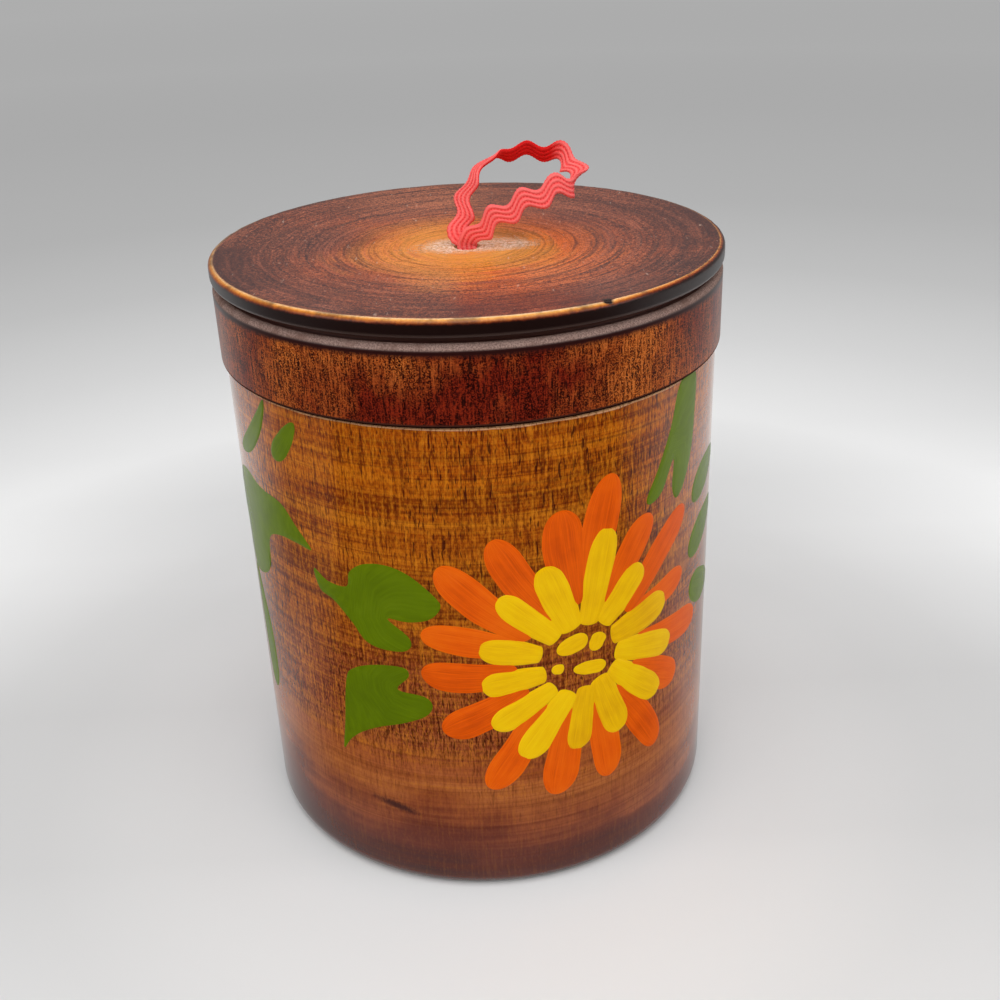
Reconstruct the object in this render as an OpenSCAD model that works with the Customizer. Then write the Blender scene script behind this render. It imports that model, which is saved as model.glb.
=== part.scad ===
// Turned wooden canister with a lift-off lid and a pull of rickrack braid.
// Millimetres, +Z up, origin at the middle of the face that it stands on.

/* [Body] */
// Outside diameter of the straight body
body_d = 109; // [90:0.5:140]
// Height of the shoulder that the lid rests on
body_h = 114.5; // [80:0.5:160]
// Thickness of the body's wall
wall_t = 6.5; // [5.5:0.1:9]
// Thickness of the body's floor
floor_t = 8; // [5:0.5:14]
// Rounding of the foot's outer edge
foot_round = 3.8; // [0.5:0.1:5]
// Width of the flat ring that the body stands on
foot_ring_w = 8; // [4:0.5:16]
// Depth of the hollow turned inside that ring
foot_hollow = 0.8; // [0.3:0.1:2]
// Rounding inside, where the wall meets the floor
inner_round = 6; // [1:0.5:12]
// Bevel on the shoulder's outer edge
shoulder_bevel = 0.4; // [0.1:0.1:1]

/* [Neck] */
// How far the neck is set in from the body's outside
neck_inset = 3.1; // [2.4:0.1:3.8]
// Height of the neck above the shoulder
neck_h = 12; // [10:0.5:20]
// Rounding of the lip's outer edge
lip_round = 0.8; // [0.3:0.1:1.2]
// Bevel on the lip's inner edge
lip_bevel = 0.5; // [0.1:0.1:0.7]

/* [Lid] */
// Radial clearance between the lid and the neck
lid_clear = 0.25; // [0.15:0.05:0.5]
// Room between the lip and the lid's ceiling
lid_room = 1; // [0.4:0.1:3]
// Thickness of the lid's top at its rim, over the ceiling
top_t = 8.4; // [7:0.1:14]
// Depth of the shallow dish turned in the lid's top
dish_depth = 1.8; // [0.5:0.1:4]
// Width of the flat rim around the dish
dish_rim = 0.6; // [0.2:0.1:6]
// How far the skirt stands out past the body
skirt_proud = 1; // [0.2:0.1:2.5]
// Rounding of the skirt's upper edge, under the groove
skirt_top_round = 1.5; // [0.5:0.1:2.5]
// Rounding of the skirt's lower edge
skirt_round = 1; // [0.2:0.1:1.4]
// Rounding inside, where the skirt meets the ceiling
ceiling_round = 1.5; // [0.5:0.1:3]
// Thickness of the top disc
disc_t = 3.6; // [3:0.1:5]
// How far the disc's edge stands out past the skirt
disc_proud = 0.2; // [0:0.1:1.5]
// Rounding of the disc's upper edge
disc_round = 0.9; // [0.4:0.1:1.6]
// Rounding of the disc's lower edge
disc_under_round = 0.9; // [0.3:0.1:1.1]
// Height of the groove under the disc
groove_w = 1.3; // [0.8:0.1:2]
// Depth of that groove
groove_depth = 2.6; // [1:0.1:3]

/* [Pull] */
// Diameter of the hole through the lid
hole_d = 4.6; // [4.2:0.1:6]
// Bevel at both mouths of the hole
hole_bevel = 0.6; // [0.2:0.1:1]
// Width of the braid across its waves
braid_w = 6.4; // [5:0.1:8]
// Width of the woven band itself
band_w = 4.4; // [3.6:0.1:4.6]
// Width of the band where it is gathered at the hole and at the knot
gathered_w = 3.2; // [2.4:0.1:3.4]
// Thickness of the band
band_t = 0.9; // [0.6:0.1:1.1]
// Length of one wave
wave_pitch = 7.4; // [6:0.1:12]
// Diameter of the doubled braid where the knot draws it tight
cord_d = 2.6; // [2:0.1:2.9]
// How far down the hole the loop's legs meet that cord
leg_sink = 0.6; // [0.3:0.1:1.5]

/* [Hidden] */
$fn = 120;
dish_fn = 720;
overcut = 1;

body_r = body_d / 2;
bore_r = body_r - wall_t;
neck_r = body_r - neck_inset;
neck_top = body_h + neck_h;
hollow_r = body_r - foot_round - foot_ring_w;

// Heights of the lid are counted from the shoulder that it rests on
ceiling_h = neck_h + lid_room;
lid_h = ceiling_h + top_t;
disc_low = lid_h - disc_t;
skirt_h = disc_low - groove_w;
skirt_r = body_r + skirt_proud;
disc_r = skirt_r + disc_proud;
groove_r = disc_r - groove_depth;
recess_r = neck_r + lid_clear;
dish_r = disc_r - disc_round - dish_rim;
dish_curve_r = (dish_r * dish_r + dish_depth * dish_depth) / (2 * dish_depth);
mouth_h = lid_h - dish_depth;
lid_mouth = body_h + mouth_h;
lid_ceiling = body_h + ceiling_h;

// The loop's route from the mouth of the hole, and the direction across the band at each point
loop_route = [
    [0, 0.5, -leg_sink], [0, 0.5, 0.8], [-1.4, 0.9, 2.6], [-1.2, 1.8, 5.2], [-0.4, 2.6, 7.8],
    [0.4, 3.4, 10.6], [1.6, 4.4, 13.4], [3.6, 5.2, 15.8], [6, 6, 17.4], [8.6, 6.8, 18.2],
    [11.4, 7.4, 18.4], [15.4, 7.8, 18.4], [19.4, 7.2, 18], [22.2, 5.4, 17.2], [23.8, 2.6, 15.8],
    [23.8, -0.4, 14], [22.2, -3, 13], [18.6, -4.2, 12.6], [14.8, -4.4, 11], [11, -4.2, 9.4],
    [7.2, -3.6, 7.2], [4, -2.6, 5], [1.6, -1.4, 2.6], [0, -0.5, 0.8], [0, -0.5, -leg_sink]
];
loop_across = [
    [1, 0, 0], [1, 0, 0], [1, 0, 0], [1, -0.2, 0], [0.8, -0.5, 0],
    [0.7, -0.6, 0], [0.5, -0.8, 0], [0.2, -0.9, 0], [0, -1, 0.1], [0, -0.8, 0.6],
    [0, -0.6, 0.8], [0, -0.6, 0.8], [0, -0.5, 0.9], [-0.3, -0.3, 0.9], [-0.6, 0, 0.8],
    [-0.5, 0.2, 0.9], [-0.3, 0.3, 0.9], [-0.3, 0.3, 0.9], [-0.3, 0.3, 0.9], [-0.3, 0.3, 0.9],
    [-0.4, 0.3, 0.9], [-0.6, 0.3, 0.7], [-0.8, 0.2, 0.5], [-1, 0, 0], [-1, 0, 0]
];

// The overhand knot's route, from the middle of the lid's ceiling
knot_route = [
    [0, 0, top_t - dish_depth - leg_sink], [0, 0, (top_t - dish_depth) / 2], [0, 0, 0], [0, 0, -3],
    [0, 0, -5.6], [0.9, 0, -8], [3.1, 0, -9.2], [5.3, 0, -8],
    [6.2, 0, -5.6], [5.8, 0.8, -3.2], [3.8, 2.6, -2], [0.6, 3.4, -1.7],
    [-2.5, 2.4, -1.7], [-3.5, -0.4, -1.9], [-2, -3, -2.3], [0.8, -3.6, -3.2],
    [2.7, -2.4, -4.6], [3.1, 0, -5.6], [3, 2.4, -6.8], [2.6, 3.6, -8.8],
    [2.5, 3.8, -11], [2.5, 3.8, -13]
];
tail_routes = [
    [[2.5, 3.3, -13], [2.5, 3.3, -15], [3.6, 3, -18], [5.2, 2.6, -21], [6.4, 2.4, -24]],
    [[2.5, 4.3, -13], [2.5, 4.3, -15], [1.4, 5, -18], [-0.4, 5.8, -21], [-1.6, 6.2, -24]]
];
loop_rings = 80;
knot_rings = 72;
tail_rings = 14;
cord_sides = 8;
// The waves and the band's full width fade out over this length where the band is tied
wave_fade = 7;
wave_phase = 68;

function unit(v) = v / norm(v);

// A smooth curve through the points of a route, at u counted in points
function on_span(a, b, c, d, t) =
    b + (c - a) * t / 2 + (2 * a - 5 * b + 4 * c - d) * t * t / 2 + (3 * (b - c) + d - a) * t * t * t / 2;
function on_route(p, u) =
    let (i = min(floor(u), len(p) - 2))
    on_span(p[max(i - 1, 0)], p[i], p[i + 1], p[min(i + 2, len(p) - 1)], u - i);
function samples(p, n) = [for (i = [0:n]) on_route(p, i * (len(p) - 1) / n)];
// Headings at the samples of a route, with both ends square to the route's end spans
function headings(q, p) =
    let (last = len(q) - 1, n = len(p) - 1)
    [for (i = [0:last]) unit(i == 0 ? p[1] - p[0] : i == last ? p[n] - p[n - 1] : q[i + 1] - q[i - 1])];
function run_lengths(q) =
    [for (i = 0, s = 0; i < len(q); s = s + (i + 1 < len(q) ? norm(q[i + 1] - q[i]) : 0), i = i + 1) s];
function square_to(v, heading) = unit(v - (v * heading) * heading);

// Rings of a rickrack band: flat, with rounded edges, its middle swinging from side to side
function band_section(w, t) =
    [[w / 2, t / 4], [w / 2 - t / 4, t / 2], [t / 4 - w / 2, t / 2], [-w / 2, t / 4],
     [-w / 2, -t / 4], [t / 4 - w / 2, -t / 2], [w / 2 - t / 4, -t / 2], [w / 2, -t / 4]];
function wave(s) = (braid_w - band_w) / 2 * sin(360 * s / wave_pitch + wave_phase);
function band_rings(route, across, n, tied_last) =
    let (q = samples(route, n), ways = headings(q, route), sides = samples(across, n), runs = run_lengths(q))
    [for (i = [0:n])
        let (
            side = square_to(sides[i], ways[i]), face = cross(ways[i], side),
            room = tied_last ? min(runs[i], runs[n] - runs[i]) : runs[i], fade = min(room / wave_fade, 1),
            section = band_section(gathered_w + (band_w - gathered_w) * fade, band_t),
            middle = q[i] + side * wave(runs[i]) * fade
        )
        [for (p = section) middle + side * p[0] + face * p[1]]];

// Rings of a round cord, each turned no more than the route bends
function cord_frames(ways, start) =
    [for (i = 0, a = square_to(start, ways[0]); i < len(ways);
          i = i + 1, a = i < len(ways) ? square_to(a, ways[i]) : a) a];
function cord_rings(route, d, n) =
    let (q = samples(route, n), ways = headings(q, route), sides = cord_frames(ways, [1, 0, 0]))
    [for (i = [0:n])
        let (face = cross(ways[i], sides[i]))
        [for (k = [0:cord_sides - 1])
            let (a = 360 * k / cord_sides)
            q[i] + (sides[i] * cos(a) + face * sin(a)) * d / 2]];

// Least gap between stretches of a cord that aren't next to each other
function least_gap(q, d) =
    let (runs = run_lengths(q))
    min([for (i = [0:len(q) - 1], j = [i + 1:1:len(q) - 1])
        if (runs[j] - runs[i] > 3 * d) norm(q[j] - q[i])]) - d;

// A closed solid through rings of equal count
module loft(rings) {
    n = len(rings[0]);
    last = len(rings) - 1;
    walls = [for (i = [0:last - 1], k = [0:n - 1])
        let (a = i * n + k, b = i * n + (k + 1) % n)
        each [[a, a + n, b], [b, a + n, b + n]]];
    ends = [for (k = [1:n - 2]) each [[0, k, k + 1], [last * n, last * n + k + 1, last * n + k]]];
    polyhedron(points = [for (ring = rings) each ring], faces = concat(walls, ends), convexity = 8);
}

// Half section of a turned disc, its outer edges rounded below and above
module disc_section(r, z0, z1, low = 0, high = 0) {
    translate([0, z0 + low]) square([r, z1 - z0 - low - high]);
    if (low > 0) {
        translate([0, z0]) square([r - low, 2 * low]);
        translate([r - low, z0 + low]) circle(low);
    }
    if (high > 0) {
        translate([0, z1 - 2 * high]) square([r - high, 2 * high]);
        translate([r - high, z1 - high]) circle(high);
    }
}

module body_section() {
    difference() {
        union() {
            disc_section(body_r, 0, body_h, low = foot_round);
            disc_section(neck_r, floor_t, neck_top, high = lip_round);
        }
        disc_section(bore_r, floor_t, neck_top + overcut, low = inner_round);
        translate([0, -overcut]) square([hollow_r, foot_hollow + overcut]);
        polygon([[bore_r - overcut, neck_top - lip_bevel - overcut],
                 [bore_r + lip_bevel + overcut, neck_top + overcut], [bore_r - overcut, neck_top + overcut]]);
        polygon([[body_r + overcut, body_h - shoulder_bevel - overcut],
                 [body_r + overcut, body_h + overcut],
                 [body_r - shoulder_bevel - overcut, body_h + overcut]]);
    }
}

module lid_section() {
    difference() {
        union() {
            disc_section(disc_r, disc_low, lid_h, low = disc_under_round, high = disc_round);
            square([groove_r, lid_h - disc_t / 2]);
            disc_section(skirt_r, 0, skirt_h, low = skirt_round, high = skirt_top_round);
        }
        translate([0, mouth_h + dish_curve_r]) circle(dish_curve_r, $fn = dish_fn);
        disc_section(recess_r, -overcut, ceiling_h, high = ceiling_round);
        hole_section();
    }
}

module hole_section() {
    hole_r = hole_d / 2;
    mouth_r = hole_r + hole_bevel + overcut;
    square([hole_r, mouth_h + overcut]);
    polygon([[0, mouth_h - hole_bevel - hole_r], [0, mouth_h + overcut], [mouth_r, mouth_h + overcut]]);
    polygon([[0, ceiling_h + hole_bevel + hole_r], [mouth_r, ceiling_h - overcut], [0, ceiling_h - overcut]]);
}

module canister_body() {
    color([0.62, 0.34, 0.14]) rotate_extrude() body_section();
}

module canister_lid() {
    color([0.36, 0.15, 0.09]) translate([0, 0, body_h]) rotate_extrude() lid_section();
}

module pull_loop() {
    color([0.86, 0.2, 0.16]) translate([0, 0, lid_mouth])
        loft(band_rings(loop_route, loop_across, loop_rings, true));
}

module pull_knot() {
    color([0.8, 0.18, 0.15]) translate([0, 0, lid_ceiling]) loft(cord_rings(knot_route, cord_d, knot_rings));
}

module pull_tails() {
    color([0.86, 0.2, 0.16]) translate([0, 0, lid_ceiling])
        for (route = tail_routes)
            loft(band_rings(route, [for (p = route) [1, 0, 0]], tail_rings, false));
}

echo(loop_length = run_lengths(samples(loop_route, loop_rings))[loop_rings]);
echo(knot_length = run_lengths(samples(knot_route, knot_rings))[knot_rings]);
echo(knot_least_gap = least_gap(samples(knot_route, knot_rings), cord_d));

canister_body();
canister_lid();
pull_loop();
pull_knot();
pull_tails();
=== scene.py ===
import math
import bpy
from mathutils import Matrix, Vector, noise


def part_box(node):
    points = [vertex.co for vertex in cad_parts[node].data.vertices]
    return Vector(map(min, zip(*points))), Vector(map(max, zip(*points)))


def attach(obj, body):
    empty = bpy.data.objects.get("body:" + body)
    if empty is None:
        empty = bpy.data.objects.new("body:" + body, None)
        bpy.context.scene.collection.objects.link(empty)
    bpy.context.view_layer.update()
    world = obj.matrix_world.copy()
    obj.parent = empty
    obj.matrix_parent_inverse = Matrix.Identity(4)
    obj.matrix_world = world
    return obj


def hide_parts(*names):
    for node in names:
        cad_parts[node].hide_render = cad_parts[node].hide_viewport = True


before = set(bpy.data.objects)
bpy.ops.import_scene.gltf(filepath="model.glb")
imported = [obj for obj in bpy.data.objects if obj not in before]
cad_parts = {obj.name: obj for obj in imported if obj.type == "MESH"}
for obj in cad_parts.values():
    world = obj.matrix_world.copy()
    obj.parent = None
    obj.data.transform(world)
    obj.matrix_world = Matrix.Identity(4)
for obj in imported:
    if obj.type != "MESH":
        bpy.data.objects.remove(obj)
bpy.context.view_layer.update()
mm = 0.001  # sizes are in metres, written as so many mm, and plain mm where a note says so
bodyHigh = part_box("canister_body")[1]
lidLow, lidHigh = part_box("canister_lid")
bodyRadius = 54.5 * mm
shoulderHeight = lidLow.z
dishDepth = 1.8 * mm  # the lid's top is a shallow dish, lowest at its hole
mouthHeight = lidHigh.z - dishDepth
print("frame loaded, canister", round(bodyHigh.z / mm, 1), "mm to its lip")


# Camera, at the photograph's angle
camera = {
    "eye": Vector((0, -265.6, 205.6)) * mm,
    "pitch": 26.78,
    "yaw": 1.08,
    "roll": -2.28,
    "lens": 44.25,
    "nearest": 10 * mm,
}


def placeCamera():
    bpy.ops.object.camera_add()
    eye = bpy.context.object
    eye.name = "photoCamera"
    eye.data.lens = camera["lens"]
    eye.data.clip_start = camera["nearest"]
    turn = Matrix.Rotation(math.radians(-camera["yaw"]), 4, "Z")
    turn @= Matrix.Rotation(math.radians(90 - camera["pitch"]), 4, "X")
    turn @= Matrix.Rotation(math.radians(camera["roll"]), 4, "Z")
    eye.matrix_world = Matrix.Translation(camera["eye"]) @ turn
    bpy.context.scene.camera = eye


placeCamera()
print("camera placed")


# Small tools for shader nodes
def newFinish(name, gloss):
    material = bpy.data.materials.new(name)
    material.use_nodes = True
    shader = material.node_tree.nodes["Principled BSDF"]
    for socket, value in gloss.items():
        shader.inputs[socket].default_value = value
    return material, shader


def addNode(material, kind, inputs, **settings):
    node = material.node_tree.nodes.new("ShaderNode" + kind)
    for key, value in settings.items():
        setattr(node, key, value)
    for key, value in inputs.items():
        plug(material, value, node.inputs[key])
    return node


def plug(material, value, socket):  # a socket is linked, anything else is set
    if isinstance(value, bpy.types.NodeSocket):
        material.node_tree.links.new(value, socket)
    else:
        socket.default_value = value


def sums(material, operation, first, second=0.0):
    return addNode(material, "Math", {0: first, 1: second}, operation=operation).outputs[0]


def times(material, first, second):
    return sums(material, "MULTIPLY", first, second)


def spread(material, value, low, high, toLow=0.0, toHigh=1.0):
    return addNode(material, "MapRange", {0: value, 1: low, 2: high, 3: toLow, 4: toHigh}).outputs[0]


def nudged(material, value, wave, amount):  # moves a value by a noise that swings about 0.5
    swing = times(material, sums(material, "SUBTRACT", wave, 0.5), amount)
    return sums(material, "ADD", value, swing)


def stretchedNoise(material, place, scale, detail=3.0, roughness=0.55, shift=(0, 0, 0)):
    moved = addNode(material, "Mapping", {"Vector": place, "Scale": scale, "Location": shift}).outputs[0]
    inputs = {"Vector": moved, "Scale": 1.0, "Detail": detail, "Roughness": roughness}
    return addNode(material, "TexNoise", inputs).outputs[0]


def colourRamp(material, value, stops):
    node = addNode(material, "ValToRGB", {0: value})
    steps = node.color_ramp.elements
    while len(steps) < len(stops):
        steps.new(1.0)
    for step, (place, colour) in zip(steps, stops):
        step.position = place
        step.color = (*colour, 1.0)
    return node.outputs[0]


def greyRamp(material, value, stops):  # one grey for each place
    return colourRamp(material, value, [(place, (tone,) * 3) for place, tone in stops])


def mixColours(material, share, first, second, blend="MIX"):
    node = addNode(material, "Mix", {0: share}, data_type="RGBA", blend_type=blend)
    for value, socket in ((first, node.inputs[6]), (second, node.inputs[7])):
        plug(material, value if isinstance(value, bpy.types.NodeSocket) else (*value, 1.0), socket)
    return node.outputs[2]


def objectPlace(material):
    return addNode(material, "TexCoord", {}).outputs["Object"]


def distance(material, place, middle=(0, 0, 0)):
    return addNode(material, "VectorMath", {0: place, 1: middle}, operation="DISTANCE").outputs["Value"]


def centred(material, place, middle, turn, reach):  # a place as seen from a mark, over the mark's reach
    inputs = {"Vector": place, "Location": middle, "Rotation": turn, "Scale": reach}
    return addNode(material, "Mapping", inputs, vector_type="TEXTURE").outputs[0]


def addNoises(material, wood, place, noises):  # puts each named noise into a piece's dictionary of grain
    for name, settings in noises.items():
        wood[name] = stretchedNoise(material, place, *settings)


def attributeOf(material, name):
    return addNode(material, "Attribute", {}, attribute_name=name).outputs["Fac"]


def setBump(material, shader, height, depth):
    inputs = {"Height": height, "Distance": depth, "Strength": 1.0}
    plug(material, addNode(material, "Bump", inputs).outputs[0], shader.inputs["Normal"])


def clearSelection():
    if bpy.context.object and bpy.context.object.mode != "OBJECT":
        bpy.ops.object.mode_set(mode="OBJECT")
    bpy.ops.object.select_all(action="DESELECT")


def seatPiece(piece, material, body, slot, *nodes):  # its finish, its body and the nodes it stands for
    piece.data.materials.clear()
    piece.data.materials.append(material)
    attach(piece, body)
    if nodes:
        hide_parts(*nodes)


# Rickrack braid of the pull, all in mm: routes from the hole's mouth or the middle of the lid's ceiling
braid = {
    "loopRoute": [
        (0, 0.5, -0.6), (0, 0.5, 0.8), (-1.4, 0.9, 2.6), (-1.2, 1.8, 5.2), (-0.4, 2.6, 7.8),
        (0.4, 3.4, 10.6), (1.6, 4.4, 13.4), (3.6, 5.2, 15.8), (6, 6, 17.4), (8.6, 6.8, 18.2),
        (11.4, 7.4, 18.4), (15.4, 7.8, 18.4), (19.4, 7.2, 18), (22.2, 5.4, 17.2), (23.8, 2.6, 15.8),
        (23.8, -0.4, 14), (22.2, -3, 13), (18.6, -4.2, 12.6), (14.8, -4.4, 11), (11, -4.2, 9.4),
        (7.2, -3.6, 7.2), (4, -2.6, 5), (1.6, -1.4, 2.6), (0, -0.5, 0.8), (0, -0.5, -0.6),
    ],
    "loopAcross": [
        (1, 0, 0), (1, 0, 0), (1, 0, 0), (1, -0.2, 0), (0.8, -0.5, 0),
        (0.7, -0.6, 0), (0.5, -0.8, 0), (0.2, -0.9, 0), (0, -1, 0.1), (0, -0.8, 0.6),
        (0, -0.6, 0.8), (0, -0.6, 0.8), (0.1, -0.5, 0.9), (0.5, -0.1, 0.75), (0.75, 0.2, 0.5),
        (0.6, 0.3, 0.7), (0.1, 0.3, 0.9), (-0.2, 0.3, 0.9), (-0.3, 0.3, 0.9), (-0.3, 0.3, 0.9),
        (-0.4, 0.3, 0.9), (-0.6, 0.3, 0.7), (-0.8, 0.2, 0.5), (-1, 0, 0), (-1, 0, 0),
    ],
    "knotRoute": [
        (0, 0, 6), (0, 0, 3.3), (0, 0, 0), (0, 0, -3), (0, 0, -5.6), (0.9, 0, -8),
        (3.1, 0, -9.2), (5.3, 0, -8), (6.2, 0, -5.6), (5.8, 0.8, -3.2), (3.8, 2.6, -2),
        (0.6, 3.4, -1.7), (-2.5, 2.4, -1.7), (-3.5, -0.4, -1.9), (-2, -3, -2.3), (0.8, -3.6, -3.2),
        (2.7, -2.4, -4.6), (3.1, 0, -5.6), (3, 2.4, -6.8), (2.6, 3.6, -8.8), (2.5, 3.8, -11),
        (2.5, 3.8, -13),
    ],
    "tailRoutes": [
        [(2.5, 3.3, -13), (2.5, 3.3, -15), (3.6, 3, -18), (5.2, 2.6, -21), (6.4, 2.4, -24)],
        [(2.5, 4.3, -13), (2.5, 4.3, -15), (1.4, 5, -18), (-0.4, 5.8, -21), (-1.6, 6.2, -24)],
    ],
    "ceiling": 8.4,  # how far the lid's ceiling lies under its rim
    "bandWide": 4.4,
    "gathered": 3.2,  # width of the band where it is tied
    "mouthWide": 4.1,  # and where the loop fills the hole's mouth
    "wide": 6.4,
    "thick": 0.9,
    "wavePitch": 7.4,
    "wavePhase": 68,
    "waveFade": 7,
    "ribs": 4,
    "pointsPerRib": 6,
    "stitch": 0.62,  # length of one stitch along a rib
    "ringStep": 0.15,
    "measureSteps": 200,  # spots that measure a route before its rings are counted
    "pathSteps": 120,
    "shadeEnds": (35.5, 38.5),  # stretch of the loop where its inner face comes out of the shade
    "cordWide": 2.6,
    "cordLobes": 7,
    "cordPoints": 42,
    "smoothAngle": 70,
    # shares of half the thickness: at the foot of a rib, gained by the rib, gained by a stitch
    "ribHeights": (0.6, 0.24, 0.16),
    "ribRound": 0.7,  # under 1 makes a rib or a lobe blunt
    "edgeRipple": 0.03,
    # shares of the cord's radius: its core, gained by a lobe, gained by a stitch
    "lobeHeights": (0.82, 0.14, 0.03),
    "lobeTwist": 0.18,
    # colours from the bottom of a groove to the top of a stitch: painted shade, darkest deep in the grooves
    "grooveShadeTones": [
        (0.15, (0.64, 0.020, 0.024)), (0.42, (0.94, 0.074, 0.074)),
        (0.80, (0.99, 0.126, 0.120)), (1.0, (1.0, 0.19, 0.18)),
    ],
    "patchTone": (1.0, 0.14, 0.13),
    "edgeTone": (1.0, 0.25, 0.24),
    "shadeTone": (0.80, 0.01, 0.01),
}


def onSpan(a, b, c, d, t):  # a smooth curve between b and c
    return (b + (c - a) * t / 2 + (2 * a - 5 * b + 4 * c - d) * t**2 / 2
            + (3 * (b - c) + d - a) * t**3 / 2)


def alongRoute(route, count):  # evenly counted points on a smooth curve through the route
    points = [Vector(p) for p in route]
    last = len(points) - 1
    spots = []
    for i in range(count + 1):
        u = i * last / count
        k = min(int(u), last - 1)
        spots.append(onSpan(points[max(k - 1, 0)], points[k], points[k + 1], points[min(k + 2, last)], u - k))
    return spots


def routeHeadings(spots, route):
    inner = [(spots[i + 1] - spots[i - 1]).normalized() for i in range(1, len(spots) - 1)]
    first = (Vector(route[1]) - Vector(route[0])).normalized()
    last = (Vector(route[-1]) - Vector(route[-2])).normalized()
    return [first, *inner, last]


def runLengths(spots):
    runs = [0.0]
    for a, b in zip(spots, spots[1:]):
        runs.append(runs[-1] + (b - a).length)
    return runs


def ribbedSection(s, bandWide):  # outline of the woven band: ribs on both faces, crossed by stitches
    ribs, stitch = braid["ribs"], braid["stitch"]
    base, rise, stitchRise = braid["ribHeights"]
    count = ribs * braid["pointsPerRib"]
    ripple = 1 + braid["edgeRipple"] * math.sin(2 * math.pi * s / stitch)
    upper = []
    lower = []
    for i in range(count + 1):
        share = i / count
        rib = min(int(share * ribs), ribs - 1)
        crest = abs(math.sin(math.pi * ribs * share)) ** braid["ribRound"]
        bulge = 0.5 + 0.5 * math.sin(2 * math.pi * (s / stitch + rib / 2))
        edge = math.sqrt(max(1 - abs(2 * share - 1) ** 5, 0))
        high = braid["thick"] / 2 * edge * (base + crest * (rise + stitchRise * bulge))
        wide = (share - 0.5) * bandWide * ripple
        upper.append((wide, high, share, 1.0))
        lower.append((wide, -high, share, 0.0))
    return upper + lower[-2:0:-1]


def waveAt(s):
    swing = (braid["wide"] - braid["bandWide"]) / 2
    return swing * math.sin(math.radians(360 * s / braid["wavePitch"] + braid["wavePhase"]))


def skinRings(rings, marks):  # closed mesh over rings of equal count, with three values kept at each point
    around = len(rings[0])
    last = len(rings) - 1
    points = [p for ring in rings for p in ring]
    faces = [tuple(reversed(range(around))), tuple(last * around + k for k in range(around))]
    for i in range(last):
        for k in range(around):
            n = (k + 1) % around
            faces.append((i * around + k, i * around + n, (i + 1) * around + n, (i + 1) * around + k))
    return points, faces, marks


def pieceFromParts(name, parts):  # one object from several skinned runs
    points, faces, marks = [], [], []
    for somePoints, someFaces, someMarks in parts:
        start = len(points)
        points += somePoints
        faces += [tuple(start + k for k in face) for face in someFaces]
        marks += someMarks
    mesh = bpy.data.meshes.new(name)
    mesh.from_pydata(points, [], faces)
    for title, values in zip(("alongBraid", "acrossBraid", "innerFace"), zip(*marks)):
        mesh.attributes.new(title, "FLOAT", "POINT").data.foreach_set("value", values)
    piece = bpy.data.objects.new(name, mesh)
    bpy.context.scene.collection.objects.link(piece)
    clearSelection()
    piece.select_set(True)
    bpy.context.view_layer.objects.active = piece
    bpy.ops.object.mode_set(mode="EDIT")
    bpy.ops.mesh.select_all(action="SELECT")
    bpy.ops.mesh.normals_make_consistent(inside=False)
    bpy.ops.object.mode_set(mode="OBJECT")
    bpy.ops.object.shade_smooth_by_angle(angle=math.radians(braid["smoothAngle"]))
    return piece


def stepAlong(route, step):  # evenly counted spots on a route, with the heading and the run at each
    whole = runLengths(alongRoute(route, braid["measureSteps"]))[-1]
    spots = alongRoute(route, int(whole / step))
    return spots, routeHeadings(spots, route), runLengths(spots)


def bandRun(route, across, origin, tiedLast):  # waves and full width fade out where the band is tied
    spots, ways, runs = stepAlong(route, braid["ringStep"])
    sides = alongRoute(across, len(spots) - 1)
    tied = braid["mouthWide"] if tiedLast else braid["gathered"]
    rings, marks = [], []
    for spot, way, side, s in zip(spots, ways, sides, runs):
        side = (side - way * side.dot(way)).normalized()
        face = way.cross(side)
        room = min(s, runs[-1] - s) if tiedLast else s
        fade = min(room / braid["waveFade"], 1)
        middle = spot + side * waveAt(s) * fade
        section = ribbedSection(s, tied + (braid["bandWide"] - tied) * fade)
        rings.append([origin + (middle + side * x + face * y) * mm for x, y, share, inner in section])
        marks += [(s, share, inner) for x, y, share, inner in section]
    return skinRings(rings, marks)


def cordRun(route, origin):  # the doubled braid, drawn together into a lobed cord
    spots, ways, runs = stepAlong(route, 2 * braid["ringStep"])
    core, lobeRise, stitchRise = braid["lobeHeights"]
    side = Vector((1, 0, 0))
    rings, marks = [], []
    for spot, way, s in zip(spots, ways, runs):
        side = (side - way * side.dot(way)).normalized()
        face = way.cross(side)
        ring = []
        for k in range(braid["cordPoints"]):
            share = k / braid["cordPoints"]
            turn = 2 * math.pi * share
            lobe = abs(math.cos(braid["cordLobes"] * turn / 2 + braid["lobeTwist"] * s)) ** braid["ribRound"]
            stitch = math.sin(2 * math.pi * s / braid["stitch"] + 3 * turn)
            radius = braid["cordWide"] / 2 * (core + lobeRise * lobe + stitchRise * stitch * lobe)
            ring.append(origin + (spot + (side * math.cos(turn) + face * math.sin(turn)) * radius) * mm)
            marks.append((s, abs(2 * share - 1), 0.0))
        rings.append(ring)
    return skinRings(rings, marks)


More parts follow.
